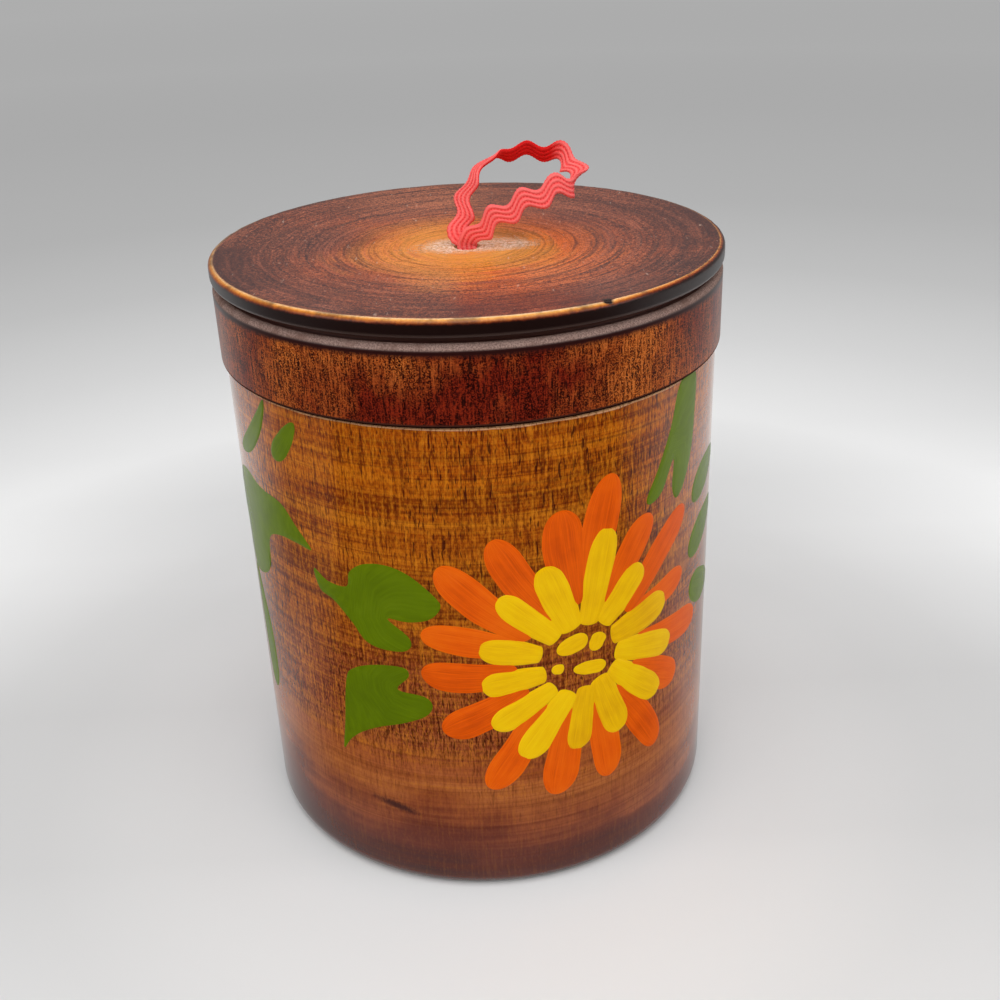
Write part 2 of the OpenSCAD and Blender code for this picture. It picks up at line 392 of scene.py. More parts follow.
def weaveBraid():
    material, shader = newFinish("coralBraid", {
        "Roughness": 0.85, "Specular IOR Level": 0.1,
        "Sheen Weight": 0.08, "Sheen Roughness": 0.5, "Sheen Tint": (1.0, 0.45, 0.42, 1.0),
    })
    along = attributeOf(material, "alongBraid")
    across = attributeOf(material, "acrossBraid")
    ribs = times(material, across, math.pi * braid["ribs"])
    crest = sums(material, "ABSOLUTE", sums(material, "SINE", ribs))
    turns = times(material, along, 2 * math.pi / braid["stitch"])
    slant = sums(material, "ADD", turns, times(material, across, 9.0))
    stitch = spread(material, sums(material, "SINE", slant), -1.0, 1.0)
    groove = sums(material, "MAXIMUM", crest, times(material, stitch, 0.6))
    fuzz = stretchedNoise(material, objectPlace(material), (2600, 2600, 2600), 2.0)
    patch = stretchedNoise(material, objectPlace(material), (160, 160, 160), 2.0)
    tone = sums(material, "ADD", groove, times(material, fuzz, 0.25))
    # painted shade in the grooves between the ribs and the stitches
    colour = colourRamp(material, tone, braid["grooveShadeTones"])
    colour = mixColours(material, spread(material, patch, 0.35, 0.7, 0.0, 0.25), colour, braid["patchTone"])
    edge = sums(material, "ABSOLUTE", sums(material, "SUBTRACT", across, 0.5))
    colour = mixColours(material, spread(material, edge, 0.40, 0.5, 0.0, 0.40), colour, braid["edgeTone"])
    shaded = spread(material, along, *braid["shadeEnds"], 0.9, 0.0)
    shaded = times(material, attributeOf(material, "innerFace"), shaded)
    colour = mixColours(material, shaded, colour, braid["shadeTone"], "MULTIPLY")
    plug(material, colour, shader.inputs["Base Color"])
    relief = sums(material, "ADD", groove, times(material, fuzz, 0.5))
    setBump(material, shader, relief, 0.10 * mm)
    return material


def makePull():
    mouth = Vector((0, 0, mouthHeight))
    ceiling = Vector((0, 0, lidHigh.z - braid["ceiling"] * mm))
    material = weaveBraid()
    loop = pieceFromParts("braidLoop", [bandRun(braid["loopRoute"], braid["loopAcross"], mouth, True)])
    knot = pieceFromParts("braidKnot", [cordRun(braid["knotRoute"], ceiling)])
    tails = pieceFromParts("braidTails", [
        bandRun(route, [(1, 0, 0)] * len(route), ceiling, False) for route in braid["tailRoutes"]])
    seatPiece(loop, material, "lid", "braid", "pull_loop")
    seatPiece(knot, material, "lid", "braid", "pull_knot")
    seatPiece(tails, material, "lid", "braid", "pull_tails")


makePull()


# Turning: a profile of numbered stretches, spun about the canister's axis
lathe = {"steps": 256, "wallStep": 2.0 * mm, "samePlace": 1e-7, "mergeReach": 1e-6, "smoothAngle": 40}


def arc(middle, radius, start, end, steps=8):
    turns = [math.radians(start + (end - start) * i / steps) for i in range(steps + 1)]
    return [(middle[0] + radius * math.cos(a), middle[1] + radius * math.sin(a)) for a in turns]


def straight(start, end, step=None):
    length = math.dist(start, end)
    count = max(1, round(length / (step or lathe["wallStep"])))
    return [(start[0] + (end[0] - start[0]) * i / count, start[1] + (end[1] - start[1]) * i / count)
            for i in range(count + 1)]


def turnOnLathe(name, stretches, closed):  # zone is the stretch's number plus the share of its length
    points, zones = [], []
    for number, stretch in enumerate(stretches):
        whole = sum(math.dist(a, b) for a, b in zip(stretch, stretch[1:]))
        run = 0.0
        for i, point in enumerate(stretch):
            run += math.dist(stretch[i - 1], point) if i else 0.0
            if points and math.dist(points[-1], point) < lathe["samePlace"]:
                continue
            points.append(point)
            zones.append(number + min(run / whole, 0.999))
    clearSelection()
    bpy.ops.mesh.primitive_circle_add(vertices=len(points), radius=bodyRadius, fill_type="NOTHING")
    piece = bpy.context.object
    piece.name = name
    mesh = piece.data
    for vertex, (radius, height) in zip(mesh.vertices, points):
        vertex.co = (0, -radius, height)
    mesh.attributes.new("zone", "FLOAT", "POINT").data.foreach_set("value", zones)
    if not closed:  # the edge along the axis is taken away
        for edge in mesh.edges:
            edge.select = set(edge.vertices) == {0, len(points) - 1}
        for vertex in mesh.vertices:
            vertex.select = False
        bpy.ops.object.mode_set(mode="EDIT")
        bpy.ops.mesh.delete(type="EDGE")
        bpy.ops.object.mode_set(mode="OBJECT")
    bpy.ops.object.mode_set(mode="EDIT")
    bpy.ops.mesh.select_all(action="SELECT")
    bpy.ops.mesh.spin(steps=lathe["steps"], angle=2 * math.pi, center=(0, 0, 0), axis=(0, 0, 1))
    bpy.ops.mesh.select_all(action="SELECT")
    bpy.ops.mesh.remove_doubles(threshold=lathe["mergeReach"])
    bpy.ops.mesh.normals_make_consistent(inside=False)
    bpy.ops.object.mode_set(mode="OBJECT")
    bpy.ops.object.shade_smooth_by_angle(angle=math.radians(lathe["smoothAngle"]))
    return piece


# Body: a straight turned pot with a neck for the lid
body = {
    "wall": 6.5 * mm,
    "floor": 8 * mm,
    "footRound": 3.8 * mm,
    "footRing": 8 * mm,
    "footHollow": 0.8 * mm,
    "innerRound": 6 * mm,
    "shoulderBevel": 0.4 * mm,
    "neckInset": 3.1 * mm,
    "lipRound": 0.8 * mm,
    "lipBevel": 0.5 * mm,
    "markAt": (-21.5 * mm, -50.1 * mm, 21.6 * mm),  # a dark streak low on the front
    "markTilt": 0.22,
    "markReach": (6.5 * mm, 20 * mm, 1.3 * mm),
    # share of the wall's height, and the stain there
    "stain": [
        (0.0, (0.044, 0.008, 0.006)), (0.06, (0.074, 0.012, 0.007)), (0.13, (0.135, 0.025, 0.011)),
        (0.17, (0.28, 0.066, 0.020)), (0.22, (0.45, 0.132, 0.034)), (0.29, (0.43, 0.116, 0.032)),
        (0.36, (0.33, 0.074, 0.022)), (0.50, (0.33, 0.070, 0.018)), (0.60, (0.40, 0.092, 0.007)),
        (0.74, (0.44, 0.098, 0.002)), (0.82, (0.34, 0.060, 0.001)), (0.90, (0.50, 0.114, 0.001)),
        (1.0, (0.40, 0.070, 0.001)),
    ],
    # share of the wall's height, and how strong the grain and the specks are there
    "grainy": [(0.0, 0.10), (0.12, 0.14), (0.20, 0.20), (0.29, 0.32), (0.37, 1.0), (1.0, 1.0)],
    "ringed": [(0.0, 0.8), (0.12, 0.8), (0.18, 0.45), (0.32, 0.5), (0.42, 1.0), (1.0, 1.0)],
    "speckled": [(0.0, 0.0), (0.18, 0.1), (0.28, 0.5), (0.36, 1.0), (0.48, 1.0), (0.62, 0.3), (1.0, 0.35)],
    # scale, detail, roughness and shift of the noises that the wood is drawn with
    "noises": {
        "cloud": ((30, 30, 40), 4.0, 0.6),
        "bands": ((6, 6, 95), 4.0, 0.6, (3, 1, 2)),
        "rings": ((10, 10, 420), 5.0, 0.62),
        "lines": ((14, 14, 1500), 3.0, 0.6),
        "fibre": ((1900, 1900, 120), 3.0, 0.6),
        "weave": ((2300, 2300, 1000), 2.0, 0.6),
        "dots": ((2300, 2300, 750), 1.0, 0.5, (9, 2, 4)),
        "stagger": ((620, 620, 25), 1.0),
    },
    "poreNoises": {
        "finePores": ((2900, 2900, 480), 1.0, 0.5),
        "broadPores": ((1700, 1700, 260), 1.0, 0.5, (5, 7, 1)),
    },
    # strength of the dark and of the pale streaks of each grain
    "streaks": {"rings": (0.62, 0.50), "lines": (0.58, 0.34), "fibre": (0.72, 0.44), "weave": (0.50, 0.34)},
    "deepTone": (0.11, 0.014, 0.001),
    "paleTone": (0.70, 0.235, 0.008),
    "poreTone": (0.045, 0.006, 0.002),
    "markTone": (0.030, 0.006, 0.006),
    "wornTone": (0.78, 0.42, 0.21),  # along the shoulder, under the skirt
    "bareTones": ((0.62, 0.40, 0.20), (0.50, 0.29, 0.13)),
    "barePores": (0.30, 0.15, 0.06),
    "underTone": (0.2, 0.08, 0.03),  # on the foot
}


def bodyProfile():
    radius, foot, top, lip = bodyRadius, body["footRound"], shoulderHeight, bodyHigh.z
    bore, neck = radius - body["wall"], radius - body["neckInset"]
    hollow = radius - foot - body["footRing"]
    innerTurn = (bore - body["innerRound"], body["floor"] + body["innerRound"])
    # zones: 0 and 1 foot, 2 its round, 3 wall, 4 and 5 shoulder, 6 neck, 7 lip, 8 bore, 9 floor
    return [
        straight((0, body["footHollow"]), (hollow, body["footHollow"])),
        straight((hollow, body["footHollow"]), (hollow, 0)) + straight((hollow, 0), (radius - foot, 0)),
        arc((radius - foot, foot), foot, -90, 0),
        straight((radius, foot), (radius, top - body["shoulderBevel"])),
        straight((radius, top - body["shoulderBevel"]), (radius - body["shoulderBevel"], top)),
        straight((radius - body["shoulderBevel"], top), (neck, top)),
        straight((neck, top), (neck, lip - body["lipRound"])),
        arc((neck - body["lipRound"], lip - body["lipRound"]), body["lipRound"], 0, 90)
        + straight((neck - body["lipRound"], lip), (bore + body["lipBevel"], lip))
        + [(bore, lip - body["lipBevel"])],
        straight((bore, lip - body["lipBevel"]), (bore, innerTurn[1])),
        arc(innerTurn, body["innerRound"], 0, -90)
        + straight((innerTurn[0], body["floor"]), (0, body["floor"])),
    ]


def bodyPores(material, wood, grainy, speckled):  # short dark pores and specks, thicker in some places
    dense = spread(material, wood["height"], 40 * mm, 18 * mm, 0.0, -0.05)
    dense = nudged(material, dense, wood["cloud"], 0.36)
    fine = spread(material, sums(material, "SUBTRACT", wood["finePores"], dense), 0.40, 0.31)
    broad = spread(material, sums(material, "SUBTRACT", wood["broadPores"], dense), 0.35, 0.29)
    dots = spread(material, sums(material, "SUBTRACT", wood["dots"], dense), 0.44, 0.33)
    dots = times(material, dots, speckled)
    pores = sums(material, "MAXIMUM", times(material, fine, 0.8), broad)
    pores = sums(material, "MAXIMUM", pores, times(material, dots, 0.85))
    return times(material, pores, spread(material, grainy, 0.0, 1.0, 0.25, 1.0))


def bodyStain(material, wood, grainy):  # the stain by height, with the grain's streaks in it
    height = wood["height"]
    ringed = greyRamp(material, wood["share"], body["ringed"])
    risen = times(material, ringed, spread(material, height, 16 * mm, 34 * mm))
    faint = spread(material, grainy, 0.0, 1.0, 0.12, 1.0)
    level = nudged(material, height, wood["bands"], 35 * mm)
    level = nudged(material, level, wood["cloud"], 30 * mm)
    stain = colourRamp(material, spread(material, level, 0.0, shoulderHeight), body["stain"])
    reaches = {
        "rings": (ringed, risen), "lines": (ringed, risen),
        "fibre": (faint, grainy), "weave": (faint, grainy),
    }
    for grain, (dark, pale) in body["streaks"].items():
        darkReach, paleReach = reaches[grain]
        low = times(material, spread(material, wood[grain], 0.49, 0.36, 0.0, dark), darkReach)
        high = times(material, spread(material, wood[grain], 0.53, 0.66, 0.0, pale), paleReach)
        stain = mixColours(material, low, stain, body["deepTone"])
        stain = mixColours(material, high, stain, body["paleTone"])
    return stain


def bodyWood(material):  # places on the body, and the noises that its wood is drawn with
    place = objectPlace(material)
    parts = addNode(material, "SeparateXYZ", {0: place}).outputs
    height = parts[2]
    wood = {"place": place, "height": height, "share": spread(material, height, 0.0, shoulderHeight)}
    addNoises(material, wood, place, body["noises"])
    swayed = nudged(material, height, wood["stagger"], 12 * mm)
    staggered = addNode(material, "CombineXYZ", {0: parts[0], 1: parts[1], 2: swayed}).outputs[0]
    addNoises(material, wood, staggered, body["poreNoises"])
    return wood


def bodyFinish():
    material, shader = newFinish("honeyLacquer", {
        "Roughness": 0.6, "Specular IOR Level": 0.0,
        "Coat Weight": 1.0, "Coat Roughness": 0.15, "Coat IOR": 1.45,
    })
    wood = bodyWood(material)
    zone = attributeOf(material, "zone")
    grainy = greyRamp(material, wood["share"], body["grainy"])
    pores = bodyPores(material, wood, grainy, greyRamp(material, wood["share"], body["speckled"]))
    stain = bodyStain(material, wood, grainy)
    stain = mixColours(material, times(material, pores, 0.88), stain, body["poreTone"])
    markPlace = centred(material, wood["place"], body["markAt"], (0, body["markTilt"], 0), body["markReach"])
    mark = nudged(material, distance(material, markPlace), wood["weave"], 0.8)
    stain = mixColours(material, spread(material, mark, 1.0, 0.35, 0.0, 0.85), stain, body["markTone"])
    bare = mixColours(material, wood["fibre"], *body["bareTones"])
    bare = mixColours(material, times(material, pores, 0.6), bare, body["barePores"])
    worn = nudged(material, wood["height"], wood["cloud"], 1.6 * mm)
    worn = spread(material, worn, shoulderHeight - 0.7 * mm, shoulderHeight - 0.5 * mm)
    worn = times(material, worn, spread(material, wood["weave"], 0.36, 0.50, 0.30, 1.0))
    under = mixColours(material, 0.5, bare, body["underTone"])
    colour = mixColours(material, worn, stain, body["wornTone"])
    colour = mixColours(material, spread(material, zone, 5.0, 5.3), colour, bare)
    colour = mixColours(material, spread(material, zone, 2.0, 1.9), colour, under)
    plug(material, colour, shader.inputs["Base Color"])
    relief = sums(material, "SUBTRACT", times(material, wood["lines"], 0.35), pores)
    setBump(material, shader, relief, 0.03 * mm)
    return material


def makeBody():
    piece = turnOnLathe("turnedBody", bodyProfile(), closed=False)
    seatPiece(piece, bodyFinish(), "canister", "body_wood", "canister_body")
    print("body turned,", len(piece.data.polygons), "faces")


makeBody()


# Lid: a dished disc with a rounded edge over a groove, and a straight skirt with a rounded shoulder
lid = {
    "clear": 0.25 * mm,
    "room": 1 * mm,
    "skirtProud": 1 * mm,
    "skirtTopRound": 1.5 * mm,
    "skirtRound": 1 * mm,
    "ceilingRound": 1.5 * mm,
    "disc": 3.6 * mm,
    "dishSteps": 40,
    "discProud": 0.2 * mm,
    "discRound": 0.9 * mm,
    "discUnder": 0.9 * mm,
    "rim": 0.6 * mm,
    "groove": 1.3 * mm,
    "grooveDepth": 2.6 * mm,
    "hole": 4.6 * mm,
    "holeBevel": 0.6 * mm,
    "nick": (25.4, -48.2, 1.5, 0.6),  # x, y, reach and depth of the nick in the rim, in mm
    "rimWear": 0.12 * mm,
    "wearZones": (0.97, 2.2, 3.2),  # zones where the wear begins, is deepest and ends
    "wearWaves": ((260, 0.5), (900, 0.3)),  # scale and strength of the unevenness
    "warmAt": (3 * mm, -8 * mm, 0),  # where the stain on the top is rubbed palest
    "warmTurn": 2.12,
    "warmReach": (1.3, 0.95, 1.0),
    "warmEnd": 54 * mm,
    # share of the way from the warm place to its end, and the stain of the top there
    "topTones": [
        (0.0, (0.92, 0.39, 0.075)), (0.15, (0.95, 0.35, 0.048)), (0.28, (0.96, 0.265, 0.026)),
        (0.37, (0.90, 0.17, 0.013)), (0.48, (0.63, 0.122, 0.012)), (0.61, (0.40, 0.066, 0.012)),
        (0.76, (0.23, 0.038, 0.010)), (1.0, (0.12, 0.019, 0.009)),
    ],
    # x, y and reach of places on the top where the stain took more or less, their colour and its strength;
    # the one at 9, 11 is a painted shadow of the pull's front strand
    "stainAndShadowSpots": [
        (-10, 44, 27, (0.60, 0.18, 0.075), 0.85), (-35, 9, 18, (0.055, 0.011, 0.010), 0.72),
        (43, -26, 13, (0.04, 0.008, 0.008), 0.90), (32, 34, 18, (0.38, 0.095, 0.045), 0.60),
        (9, 11, 8, (0.34, 0.10, 0.03), 0.55), (29, -38, 12, (0.66, 0.19, 0.10), 0.85),
        (-11, -39, 12, (0.06, 0.012, 0.010), 0.50), (-36, -33, 10, (0.32, 0.085, 0.05), 0.50),
        (16, -26, 11, (0.92, 0.22, 0.05), 0.55), (-29, -47, 9, (0.42, 0.15, 0.10), 0.60),
    ],
    # scale, detail, roughness and shift of the noises that the wood is drawn with
    "noises": {
        "cloud": ((38, 38, 38), 4.0),
        "fleck": ((1500, 1500, 1500), 2.0),
        "grit": ((3400, 3400, 3400), 1.0),
        "fibre": ((2300, 2300, 230), 5.0, 0.70),
        "dashes": ((1900, 1900, 720), 4.0, 0.66, (2, 6, 5)),
        "pits": ((2300, 2300, 420), 1.0, 0.5, (3, 3, 3)),
        "chips": ((240, 240, 240), 3.0, 0.6, (7, 1, 2)),
        "lines": ((20, 20, 2200), 2.0),
        "blotch": ((85, 85, 60), 4.0, 0.6, (1, 8, 3)),
        "scratch": ((900, 230, 1), 2.0, 0.5, (4, 9, 0)),
    },
    "ringNoises": {
        "fineRings": ((1150, 48, 48), 5.0, 0.70),
        "broadRings": ((330, 26, 26), 5.0, 0.65, (2, 5, 1)),
    },
    "tornNoise": ((240, 1700, 1), 3.0, 0.6, (6, 2, 0)),
    "tornSqueeze": (0.42, 1.0, 1.0),
    # noise where a streak begins and where it is full, its strength and its colour: dark ones, then pale ones
    "topStreaks": {
        "fineRings": ((0.53, 0.38, 1.0, (0.050, 0.008, 0.008)), (0.54, 0.64, 0.50, (0.60, 0.17, 0.09))),
        "broadRings": ((0.50, 0.38, 0.55, (0.050, 0.008, 0.008)), (0.54, 0.66, 0.34, (0.60, 0.17, 0.08))),
        "specks": ((0.49, 0.35, 0.76, (0.044, 0.007, 0.007)), (0.53, 0.67, 0.36, (0.68, 0.22, 0.10))),
    },
    "tanTone": (0.93, 0.39, 0.085),
    "nearRimTone": (0.045, 0.009, 0.008),
    "scratchTone": (0.66, 0.44, 0.34),
    "fluffAndGlintTones": ((0.62, 0.36, 0.22), (1.0, 0.84, 0.70)),  # torn fibres around the hole, the palest with painted glints
    "fluffPitShade": (0.26, 0.10, 0.05),
    # share of the way around the rim's edge, and the colour there: gold that wear has laid bare, with a
    # painted highlight at the palest stop
    "rimWearAndHighlightTones": [
        (0.0, (0.20, 0.070, 0.045)), (0.22, (0.60, 0.31, 0.15)), (0.38, (1.0, 0.66, 0.34)),
        (0.52, (0.92, 0.42, 0.08)), (0.68, (0.54, 0.15, 0.012)), (0.84, (0.14, 0.018, 0.002)),
        (1.0, (0.012, 0.0025, 0.0015)),
    ],
    "rimHighlightDimming": (0.82, 0.52, 0.20),
    "rimUnrubbed": (0.045, 0.010, 0.006),
    "nickTone": (0.020, 0.007, 0.005),
    # share of the way across the front, and how pale the skirt is there
    "skirtAcross": [
        (0.0, 0.48), (0.12, 0.48), (0.22, 0.58), (0.30, 0.56), (0.37, 0.42), (0.46, 0.22), (0.56, 0.16),
        (0.64, 0.46), (0.72, 0.62), (0.82, 0.54), (1.0, 0.50),
    ],
    "skirtTones": ((0.125, 0.006, 0.001), (0.36, 0.066, 0.003)),
    "skirtLights": ((0.31, 0.024, 0.003), (0.66, 0.18, 0.030)),
    "skirtStreaks": {"dashes": 0.90, "fibre": 1.0, "grit": 0.75, "lines": 0.60},
    "streakTone": (0.20, 0.11, 0.05),
    "pitTone": (0.014, 0.002, 0.001),
    "blackTone": (0.012, 0.0025, 0.0015),
    # painted sheen: the disc's underside is coloured paler, as the lacquer there would show the floor
    "discUnderSheen": (0.07, 0.038, 0.030),
    "grooveTone": (0.10, 0.036, 0.026),
    "shoulderTones": ((0.19, 0.122, 0.104), (0.38, 0.255, 0.215)),
    "shoulderChips": (0.16, 0.085, 0.065),
    "underShoulderShade": (0.026, 0.005, 0.004),  # painted shade: the dark line under the shoulder
    "hemTone": (0.060, 0.020, 0.012),
    "bareTones": ((0.50, 0.29, 0.13), (0.62, 0.40, 0.20)),
}


def lidProfile():
    top, low = lidHigh.z, lidLow.z
    ceiling = bodyHigh.z + lid["room"]
    skirt = bodyRadius + lid["skirtProud"]
    disc = skirt + lid["discProud"]
    recess = bodyRadius - body["neckInset"] + lid["clear"]
    hole, mouth = lid["hole"] / 2, lid["hole"] / 2 + lid["holeBevel"]
    dish = disc - lid["discRound"] - lid["rim"]
    dishCurve = (dish**2 + dishDepth**2) / (2 * dishDepth)
    grooveTop = top - lid["disc"]
    groove = disc - lid["grooveDepth"]
    skirtTop = grooveTop - lid["groove"]
    shoulder, foot, vault = lid["skirtTopRound"], lid["skirtRound"], lid["ceilingRound"]
    dishRun = [r for r, height in straight((mouth, 0), (dish, 0), (dish - mouth) / lid["dishSteps"])]
    # zones: 0 dish, 1 to 3 rim and disc's edge, 4 its underside, 5 groove, 6 shoulder, 7 skirt, 8 hem,
    # 9 recess, 10 hole
    return [
        [(r, mouthHeight + dishCurve - math.sqrt(dishCurve**2 - r**2)) for r in dishRun],
        straight((dish, top), (disc - lid["discRound"], top), 0.2 * mm),
        arc((disc - lid["discRound"], top - lid["discRound"]), lid["discRound"], 90, 0, 10),
        straight((disc, top - lid["discRound"]), (disc, grooveTop + lid["discUnder"]), 0.4 * mm),
        arc((disc - lid["discUnder"], grooveTop + lid["discUnder"]), lid["discUnder"], 0, -90),
        straight((disc - lid["discUnder"], grooveTop), (groove, grooveTop), 0.4 * mm)
        + straight((groove, grooveTop), (groove, skirtTop), 0.3 * mm)
        + straight((groove, skirtTop), (skirt - shoulder, skirtTop), 0.4 * mm),
        arc((skirt - shoulder, skirtTop - shoulder), shoulder, 90, 0, 12),
        straight((skirt, skirtTop - shoulder), (skirt, low + foot), 0.8 * mm),
        arc((skirt - foot, low + foot), foot, 0, -90)
        + straight((skirt - foot, low), (recess, low), 0.6 * mm),
        straight((recess, low), (recess, ceiling - vault))
        + arc((recess - vault, ceiling - vault), vault, 0, 90)
        + straight((recess - vault, ceiling), (mouth, ceiling)),
        [(mouth, ceiling), (hole, ceiling + lid["holeBevel"])]
        + straight((hole, ceiling + lid["holeBevel"]), (hole, mouthHeight - lid["holeBevel"]))
        + [(mouth, mouthHeight)],
    ]


def wearRim(piece):  # uneven wear along the rim, with one nick
    zones = piece.data.attributes["zone"].data
    nickX, nickY, reach, depth = (value * mm for value in lid["nick"])
    wearStart, wearMiddle, wearEnd = lid["wearZones"]
    for vertex in piece.data.vertices:
        zone = zones[vertex.index].value
        if not wearStart < zone < wearEnd:
            continue
        share = max(0.0, 1 - abs(zone - wearMiddle))
        uneven = 0.5 + sum(strength * noise.noise(vertex.co * scale) for scale, strength in lid["wearWaves"])
        inwards = Vector((vertex.co.x, vertex.co.y, 0)).normalized() + Vector((0, 0, 1))
        vertex.co -= inwards * lid["rimWear"] * share * max(uneven, 0.0)
        near = math.dist(vertex.co[:2], (nickX, nickY)) / reach
        vertex.co -= inwards * depth * share * max(0.0, 1 - near**2)


def streaked(material, colour, grain, reach, dark, pale):  # dark streaks within a reach, pale ones all over
    *darkSpan, darkShare, darkTone = dark
    *paleSpan, paleShare, paleTone = pale
    low = times(material, spread(material, grain, *darkSpan, 0.0, darkShare), reach)
    colour = mixColours(material, low, colour, darkTone)
    return mixColours(material, spread(material, grain, *paleSpan, 0.0, paleShare), colour, paleTone)


def lidWood(material):  # places on the lid, and the noises that its wood is drawn with
    place = objectPlace(material)
    parts = addNode(material, "SeparateXYZ", {0: place}).outputs
    flat = addNode(material, "CombineXYZ", {0: parts[0], 1: parts[1]}).outputs[0]
    radius = distance(material, flat)
    wood = {"sideways": parts[0], "backwards": parts[1], "flat": flat, "radius": radius}
    wood["zone"] = attributeOf(material, "zone")
    ringPlace = addNode(material, "CombineXYZ", {0: radius, 1: parts[0], 2: parts[1]}).outputs[0]
    addNoises(material, wood, place, lid["noises"])
    addNoises(material, wood, ringPlace, lid["ringNoises"])
    return wood


def tornPatch(material, wood):  # where the stain has come away around the hole, and the pale fibres there, with painted glints and painted shade in their pits
    squeezed = addNode(material, "Mapping", {"Vector": wood["flat"], "Scale": lid["tornSqueeze"]}).outputs[0]
    tear = stretchedNoise(material, wood["flat"], *lid["tornNoise"])
    torn = distance(material, squeezed)
    for wave, swing in ((wood["cloud"], 12 * mm), (tear, 12 * mm), (wood["fleck"], 8 * mm)):
        torn = nudged(material, torn, wave, swing)
    torn = spread(material, torn, 5.8 * mm, 4.6 * mm)
    torn = times(material, torn, spread(material, tear, 0.36, 0.54, 0.35, 0.85))
    fluff = mixColours(material, spread(material, wood["fleck"], 0.40, 0.60), *lid["fluffAndGlintTones"])
    shadedPits = spread(material, wood["grit"], 0.44, 0.34, 0.0, 0.6)
    return torn, mixColours(material, shadedPits, fluff, lid["fluffPitShade"])


def lidTop(material, wood):  # rubbed pale around the pull, dark towards the rim
    radius, cloud, rings = wood["radius"], wood["cloud"], wood["broadRings"]
    warmPlace = centred(material, wood["flat"], lid["warmAt"], (0, 0, lid["warmTurn"]), lid["warmReach"])
    reach = nudged(material, distance(material, warmPlace), cloud, 28 * mm)
    reach = nudged(material, reach, rings, 34 * mm)
    top = colourRamp(material, spread(material, reach, 0.0, lid["warmEnd"]), lid["topTones"])
    tan = spread(material, wood["sideways"], 4 * mm, -8 * mm, 0.0, 0.7)
    tan = times(material, tan, spread(material, reach, 30 * mm, 18 * mm))
    top = mixColours(material, tan, top, lid["tanTone"])
    # stain spots, one of them a painted shadow under the pull
    for x, y, size, tone, strength in lid["stainAndShadowSpots"]:
        away = nudged(material, distance(material, wood["flat"], (x * mm, y * mm, 0)), rings, 20 * mm)
        inSpot = spread(material, away, size * mm, 0.3 * size * mm, 0.0, strength)
        top = mixColours(material, inSpot, top, tone)
    worked = spread(material, radius, 6 * mm, 34 * mm, 0.22, 0.95)
    rough = spread(material, radius, 10 * mm, 36 * mm, 0.22, 1.0)
    for grain, streaks, within in (
            ("fineRings", "fineRings", worked), ("broadRings", "broadRings", worked),
            ("fleck", "specks", rough), ("grit", "specks", rough)):
        top = streaked(material, top, wood[grain], within, *lid["topStreaks"][streaks])
    nearRim = times(material, spread(material, radius, 36 * mm, 52 * mm), spread(material, cloud, 0.42, 0.54))
    nearRim = times(material, nearRim, spread(material, wood["backwards"], 10 * mm, 34 * mm, 1.0, 0.25))
    top = mixColours(material, times(material, nearRim, 0.6), top, lid["nearRimTone"])
    scratched = spread(material, wood["scratch"], 0.69, 0.76, 0.0, 0.50)
    top = mixColours(material, scratched, top, lid["scratchTone"])
    torn, fluff = tornPatch(material, wood)
    return mixColours(material, torn, top, fluff)


def lidRim(material, wood, edge):  # the stain is rubbed down to gold wood, with a painted highlight on the rounding, most at the front and dimmed to both sides
    sideways = wood["sideways"]
    goldEnd = spread(material, sideways, 22 * mm, 48 * mm, 3.2, 2.5)
    rubbedGoldAndHighlight = colourRamp(material, spread(material, edge, 1.3, goldEnd), lid["rimWearAndHighlightTones"])
    facing = spread(material, wood["backwards"], 30 * mm, -35 * mm, 0.12, 1.0)
    facing = times(material, facing, spread(material, wood["cloud"], 0.30, 0.46, 0.55, 1.0))
    facing = times(material, facing, spread(material, wood["chips"], 0.34, 0.50, 0.45, 1.0))
    # the gold and its painted highlight are dimmed towards both sides
    dull = spread(material, sideways, -6 * mm, -40 * mm, 0.0, 0.42)
    dull = sums(material, "MAXIMUM", dull, spread(material, sideways, 22 * mm, 42 * mm, 0.0, 0.80))
    rubbedGoldAndHighlight = mixColours(material, dull, rubbedGoldAndHighlight, lid["rimHighlightDimming"], "MULTIPLY")
    return mixColours(material, facing, lid["rimUnrubbed"], rubbedGoldAndHighlight)


def lidSkirt(material, wood):  # red-brown at the middle of the front, paler to both sides
    sideways, zone = wood["sideways"], wood["zone"]
    across = greyRamp(material, spread(material, sideways, -56 * mm, 56 * mm), lid["skirtAcross"])
    hem = spread(material, zone, 7.2, 7.9, 0.0, 0.26)
    for start, full in ((18 * mm, -12 * mm), (-46 * mm, -18 * mm)):
        hem = times(material, hem, spread(material, sideways, start, full))
    patch = sums(material, "SUBTRACT", nudged(material, across, wood["blotch"], 1.6), hem)
    skirt = mixColours(material, spread(material, patch, 0.20, 0.85), *lid["skirtTones"])
    for grain, strength in lid["skirtStreaks"].items():
        streak = spread(material, wood[grain], 0.50, 0.38, 0.0, strength)
        skirt = mixColours(material, streak, skirt, lid["streakTone"], "MULTIPLY")
    lit = mixColours(material, spread(material, patch, 0.20, 0.75), *lid["skirtLights"])
    litReach = spread(material, patch, 0.25, 0.80, 0.52, 0.82)
    for grain in ("fibre", "grit"):
        lights = times(material, spread(material, wood[grain], 0.51, 0.62), litReach)
        skirt = mixColours(material, lights, skirt, lit)
    skirt = mixColours(material, spread(material, wood["pits"], 0.38, 0.29, 0.0, 0.9), skirt, lid["pitTone"])
    # painted shade along the top of the skirt, under the shoulder
    return mixColours(material, spread(material, zone, 7.10, 7.02), skirt, lid["underShoulderShade"])


